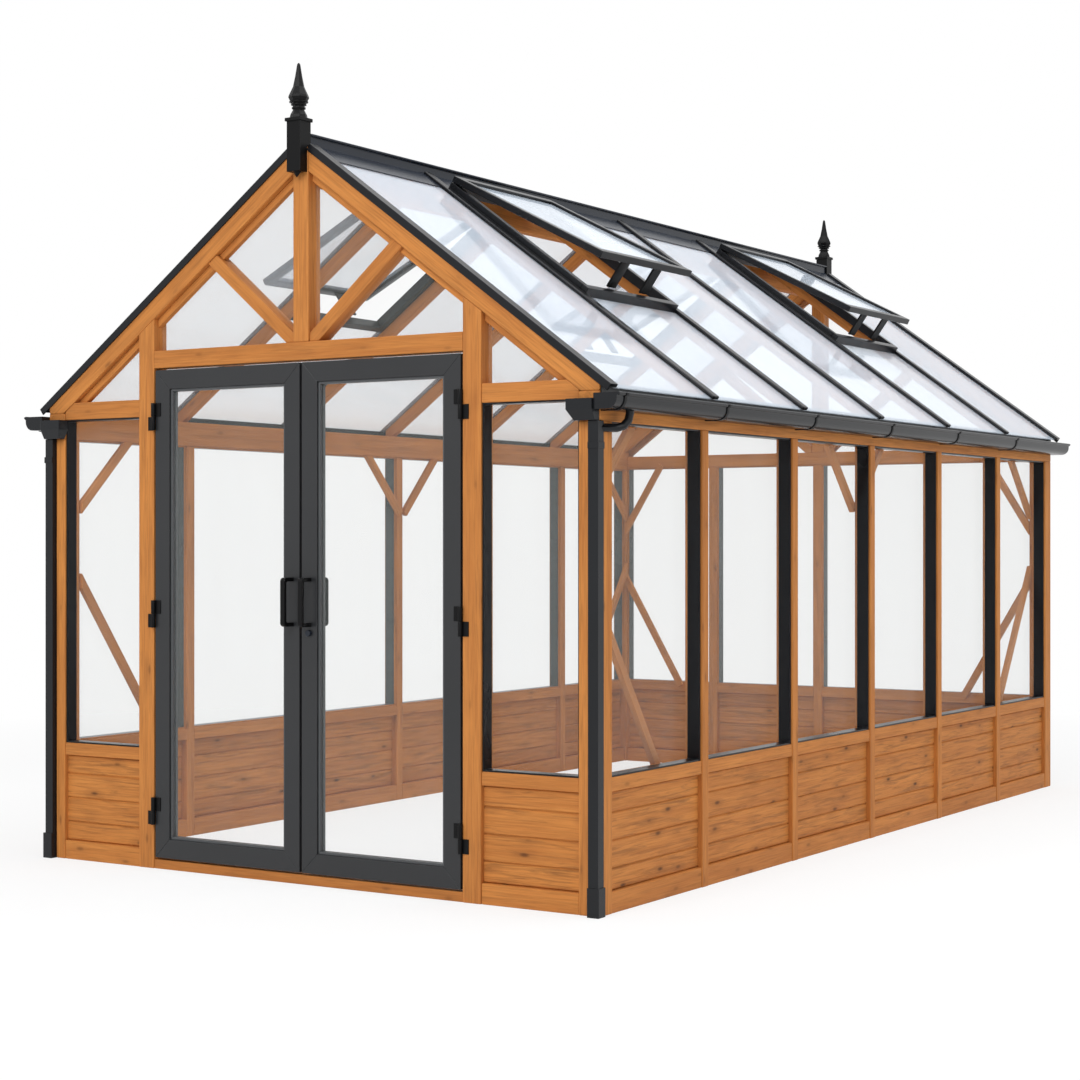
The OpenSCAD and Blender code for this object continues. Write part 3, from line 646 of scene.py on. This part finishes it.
# %% Eaves strips
strip_t = 0.003
strip_h = 0.034
strip_short = 0.012
strip_off = 0.002
strip_rise = 0.018
lip_r = 0.006
lip_sides = 14
lip_short = 0.008
lip_in = 0.005
lip_down = 0.004
plate_low, plate_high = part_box("eaves_plates")
gutter_low, gutter_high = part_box("gutters")
plate_mid = (plate_low.y + plate_high.y) / 2
gutter_mid = (gutter_low.y + gutter_high.y) / 2
strip_size = (strip_t, plate_high.y - plate_low.y - strip_short, strip_h)
lip_long = gutter_high.y - gutter_low.y - lip_short
strips = bmesh.new()
for way in (-1.0, 1.0):
    centre = (way * (plate_high.x + strip_off), plate_mid, gutter_high.z + strip_rise)
    add_box(strips, centre, strip_size)
    lip = (way * (gutter_high.x - lip_in), gutter_mid, gutter_high.z - lip_down)
    turn = Matrix.Translation(lip) @ Matrix.Rotation(math.radians(90.0), 4, "X")
    add_rod(strips, lip_sides, lip_r, lip_long, turn)
add_piece("eaves_strips", strips, "house", rain_coat, rolled)
print("eaves closers at", [round(v, 4) for v in centre])

# %% [markdown]
# ## Rings on the finials
# A spear is turned with three fine rings under its widest point. A ring could be spun from its
# section, but a short rod with eased edges is the same shape. The tip of each finial gives the
# middle. Each line has the drop from the tip, the radius and the height.

# %% Finial rings
ring_list = ((0.1615, 0.0245, 0.006), (0.1495, 0.0275, 0.004), (0.1400, 0.0335, 0.004))
ring_sides = 32
ring_round = 0.0012
spears = copy_of("finials")
rings = bmesh.new()
for verts in separate_solids(spears):
    tip = max(verts, key=lambda v: v.co.z).co
    for drop, radius, high in ring_list:
        add_rod(rings, ring_sides, radius, high, Matrix.Translation((tip.x, tip.y, tip.z - drop)))
spears.free()
ease_edges(rings, ring_round)
add_piece("finial_rings", rings, "house", black_coat, rolled)
print("finial rings:", len(ring_list), "on each spear")

# %% [markdown]
# ## Door leaves
# A metal door leaf is four lengths of box section, cut at 45 degrees and welded, with a slim
# bead in front of and behind the glass. A mitred length is one flat quad pushed out to its
# depth: the frame's outer and inner corners give its four points. Easing the edges leaves a
# fine V along every mitre.


# %% Mitred frames
def corners_of(low, high):
    return [(low[0], low[1]), (high[0], low[1]), (high[0], high[1]), (low[0], high[1])]


def mitred_frame(mesh, low, high, width, front, back):
    outer = corners_of(low, high)
    inner = corners_of(
        (low[0] + width[0], low[1] + width[1]), (high[0] - width[0], high[1] - width[1])
    )
    for i in range(4):
        corners = [outer[i], outer[(i + 1) % 4], inner[(i + 1) % 4], inner[i]]
        face = mesh.faces.new([mesh.verts.new((x, front, z)) for x, z in corners])
        grown = bmesh.ops.extrude_face_region(mesh, geom=[face])["geom"]
        moved = [part for part in grown if isinstance(part, bmesh.types.BMVert)]
        bmesh.ops.translate(mesh, verts=moved, vec=(0.0, back - front, 0.0))
    bmesh.ops.recalc_face_normals(mesh, faces=mesh.faces)


print("mitred frames ready")

# %% Door leaves
rail_w = 0.070
leaf_ease = 0.0015
bead_w = 0.009
bead_back = 0.007
bead_ease = 0.0012
for side in ("left", "right"):
    leaf_low, leaf_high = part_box(side + "_door_stiles")
    rail_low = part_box(side + "_door_rails")[0]
    pane_low, pane_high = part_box(side + "_door_glass")
    stile_w = rail_low.x - leaf_low.x
    front, back = leaf_low.y, leaf_high.y
    leaf = bmesh.new()
    low = (leaf_low.x, leaf_low.z)
    high = (leaf_high.x, leaf_high.z)
    mitred_frame(leaf, low, high, (stile_w, rail_w), front, back)
    ease_edges(leaf, leaf_ease)
    piece = add_piece(side + "_leaf_frame", leaf, side + "_door", door_coat)
    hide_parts(side + "_door_stiles", side + "_door_rails")
    beads = bmesh.new()
    low = (leaf_low.x + stile_w, leaf_low.z + rail_w)
    high = (leaf_high.x - stile_w, leaf_high.z - rail_w)
    mitred_frame(beads, low, high, (bead_w, bead_w), front + bead_back, pane_low.y)
    mitred_frame(beads, low, high, (bead_w, bead_w), pane_high.y, back - bead_back)
    ease_edges(beads, bead_ease)
    # The beads' light grey coat is painted highlight along the glass edges of the leaf.
    add_piece(side + "_glazing_beads", beads, side + "_door", bead_coat)
    print(side, "leaf from", [round(v, 3) for v in leaf_low], "to", [round(v, 3) for v in leaf_high])

# %% [markdown]
# ## Floor, backdrop and light
# A studio floor that is pure white to the camera would lose the shadow under the sills. So the
# floor is part white paper that takes light and shadow, and part glow that only the camera and
# reflections see. Far from the house it is all glow, so that no horizon shows. A ramp runs from
# 0 to 1, so distances go into it in tens of metres. The world is white to the camera too, and
# it lights the object evenly with a softer light.

# %% Floor
floor_half = 60.0
near_glow = 0.74
fade_from = 3.5
fade_to = 6.5
full_white = (1.0, 1.0, 1.0, 1.0)
floor_mesh = bmesh.new()
bmesh.ops.create_grid(floor_mesh, x_segments=1, y_segments=1, size=floor_half)
floor_data = bpy.data.meshes.new("studio_floor")
floor_mesh.to_mesh(floor_data)
floor_mesh.free()
floor = bpy.data.objects.new("studio_floor", floor_data)
link(floor)
paper = Finish("studio_paper")
paper.set({"Base Color": colour(248, 248, 248), "Roughness": 0.9})
glow = paper.add("ShaderNodeEmission", {}, {"Color": full_white, "Strength": 1.0})
lit = Value(paper, paper.shader.outputs[0])
reach = paper.add("ShaderNodeVectorMath", {"operation": "LENGTH"}, {0: paper.place()}, "Value")
far = paper.ramp(reach * 0.1, fade_from * 0.1, fade_to * 0.1)
glow_share = near_glow + (1.0 - near_glow) * far
paper.surface(glow_share * paper.viewing_rays(), lit, glow, "Material Output")
floor_data.materials.append(paper.material)
print("floor of", 2 * floor_half, "m, all glow from", fade_to, "m on")

# %% World
world = bpy.data.worlds.new("studio_world")
bpy.context.scene.world = world
world.use_nodes = True
sky = Graph(world.node_tree)
soft = sky.add("ShaderNodeBackground", {}, {"Color": (0.96, 0.98, 1.0, 1.0), "Strength": 0.45})
white = sky.add("ShaderNodeBackground", {}, {"Color": full_white, "Strength": 1.0})
sky.surface(sky.viewing_rays(), soft, white, "World Output")
print("world nodes:", len(sky.tree.nodes))

# %% Lamps
soft_boxes = {
    "key_box": ((1.0, -9.0, 6.5), (0.0, -0.5, 1.0), 5.0, 405.0),
    "side_box": ((9.0, 0.0, 5.5), (0.0, 0.5, 1.0), 5.0, 140.0),
    "top_box": ((1.5, 0.0, 9.0), (0.0, 0.0, 1.0), 8.0, 460.0),
}
for name, (place, aim, size, power) in soft_boxes.items():
    lamp_data = bpy.data.lights.new(name, "AREA")
    lamp_data.shape = "SQUARE"
    lamp_data.size = size
    lamp_data.energy = power
    lamp = bpy.data.objects.new(name, lamp_data)
    lamp.location = place
    lamp.rotation_euler = (Vector(aim) - Vector(place)).to_track_quat("-Z", "Y").to_euler()
    link(lamp)
    print(name, "of", power, "W")
